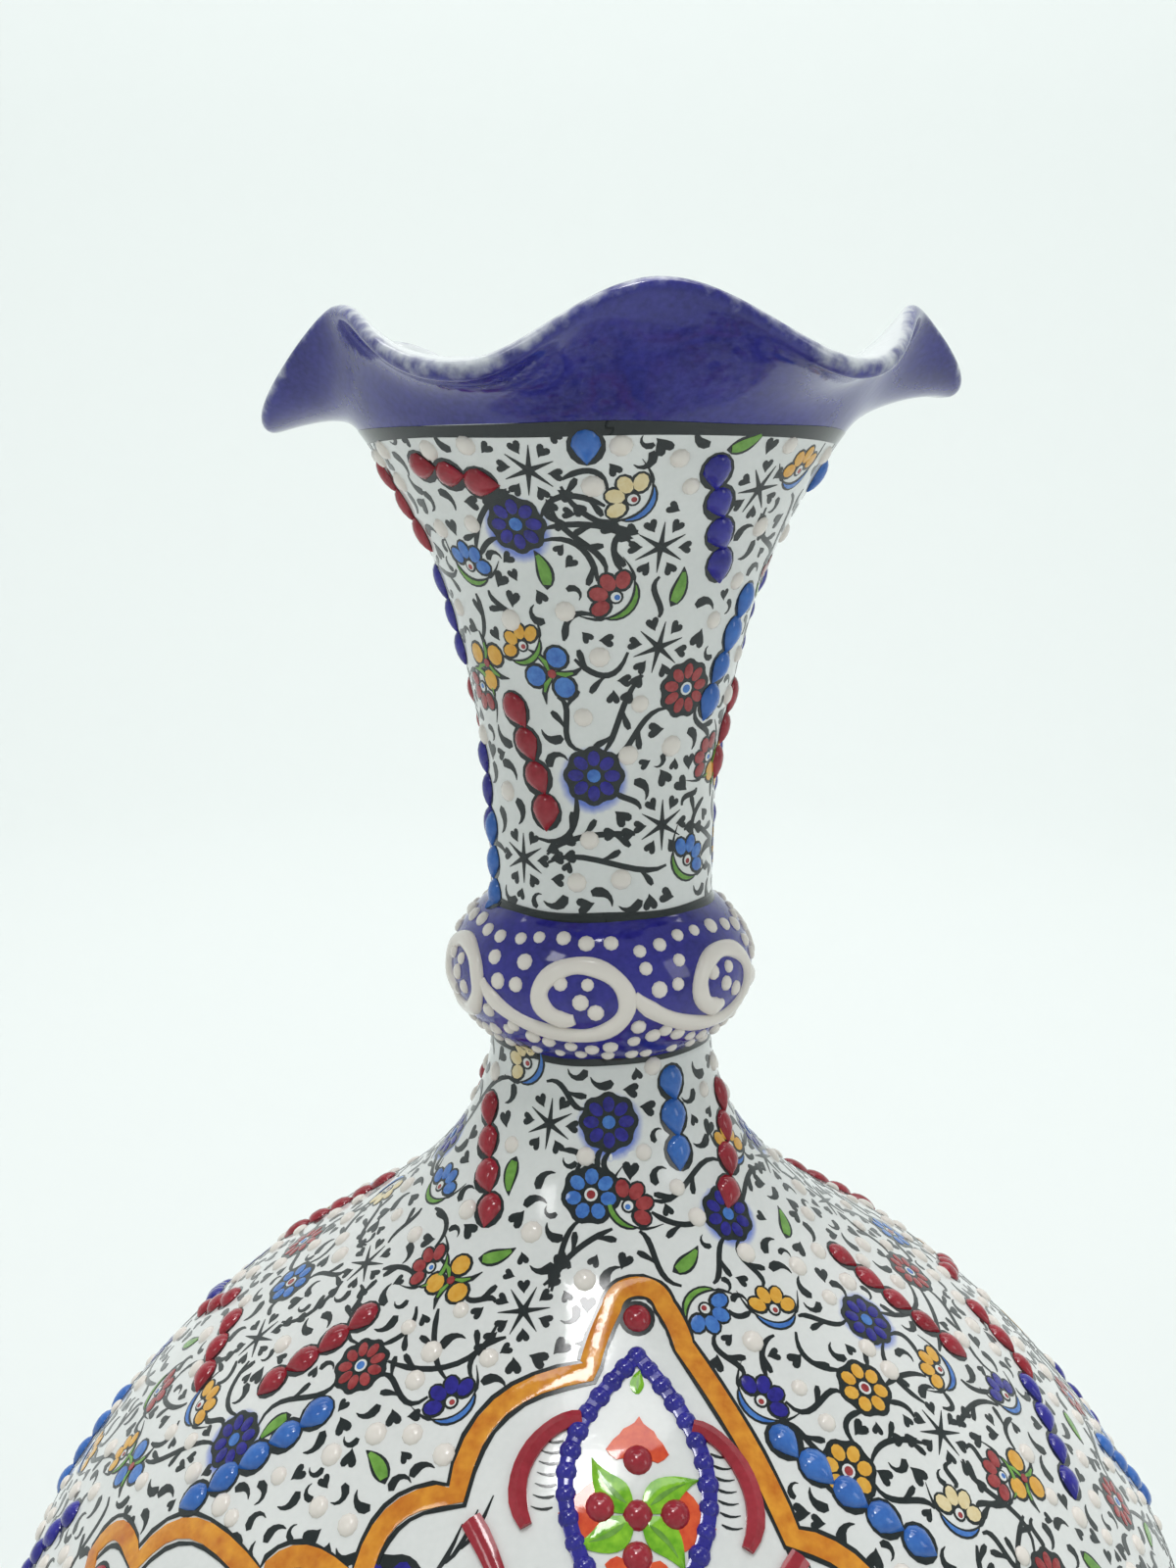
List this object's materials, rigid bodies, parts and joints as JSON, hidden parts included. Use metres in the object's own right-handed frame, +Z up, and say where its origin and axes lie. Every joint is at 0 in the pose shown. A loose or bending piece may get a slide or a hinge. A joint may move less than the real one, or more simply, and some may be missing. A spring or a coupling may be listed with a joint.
{
  "type": "vase",
  "caption": "Tall-necked glazed ceramic vase with a round belly, a collar on the neck, a ruffled rim and raised enamel dots, petals and cusped medallions.",
  "frame": {"origin": "middle of the foot ring, on the surface that the vase stands on", "axes": "+Z up the axis of the vase; -Y is the front, where the first medallion faces; +X to the right as seen from the front"},
  "size_m": [0.248, 0.2484, 0.4005],
  "materials": {
    "white_glaze": "glossy transparent glaze over white slip, painted under the glaze",
    "cobalt_glaze": "glossy cobalt glaze, thinner at the edges",
    "bare_foot": "unglazed fired clay, fine grain",
    "white_enamel": "raised satin-gloss enamel",
    "red_enamel": "raised glossy enamel",
    "cobalt_enamel": "raised glossy enamel",
    "light_blue_enamel": "raised glossy enamel",
    "amber_glaze": "glossy streaked glaze",
    "painted_decoration": "black outlines and coloured fillings painted flat under the glossy glaze"
  },
  "bodies": {
    "root": {"foot_ring": "bare_foot", "belly_base": "white_glaze", "belly_bowl": "white_glaze", "belly_shoulder": "white_glaze", "shoulder_top": "white_glaze", "neck_collar": "cobalt_glaze", "neck_stem": "white_glaze", "neck_bell": "white_glaze", "ruffled_rim": "cobalt_glaze", "collar_scrolls": "white_enamel", "collar_dots": "white_enamel", "neck_dots": "white_enamel", "shoulder_dots": "white_enamel", "bowl_dots": "white_enamel", "neck_red_petals": "red_enamel", "neck_cobalt_petals": "cobalt_enamel", "neck_blue_petals": "light_blue_enamel", "body_red_petals": "red_enamel", "body_cobalt_petals": "cobalt_enamel", "body_blue_petals": "light_blue_enamel", "front_border": "amber_glaze", "back_border": "amber_glaze", "front_bead_ropes": "cobalt_enamel", "back_bead_ropes": "cobalt_enamel", "front_red_strokes": "red_enamel", "back_red_strokes": "red_enamel", "front_red_beads": "red_enamel", "back_red_beads": "red_enamel"}
  },
  "joints": []
}
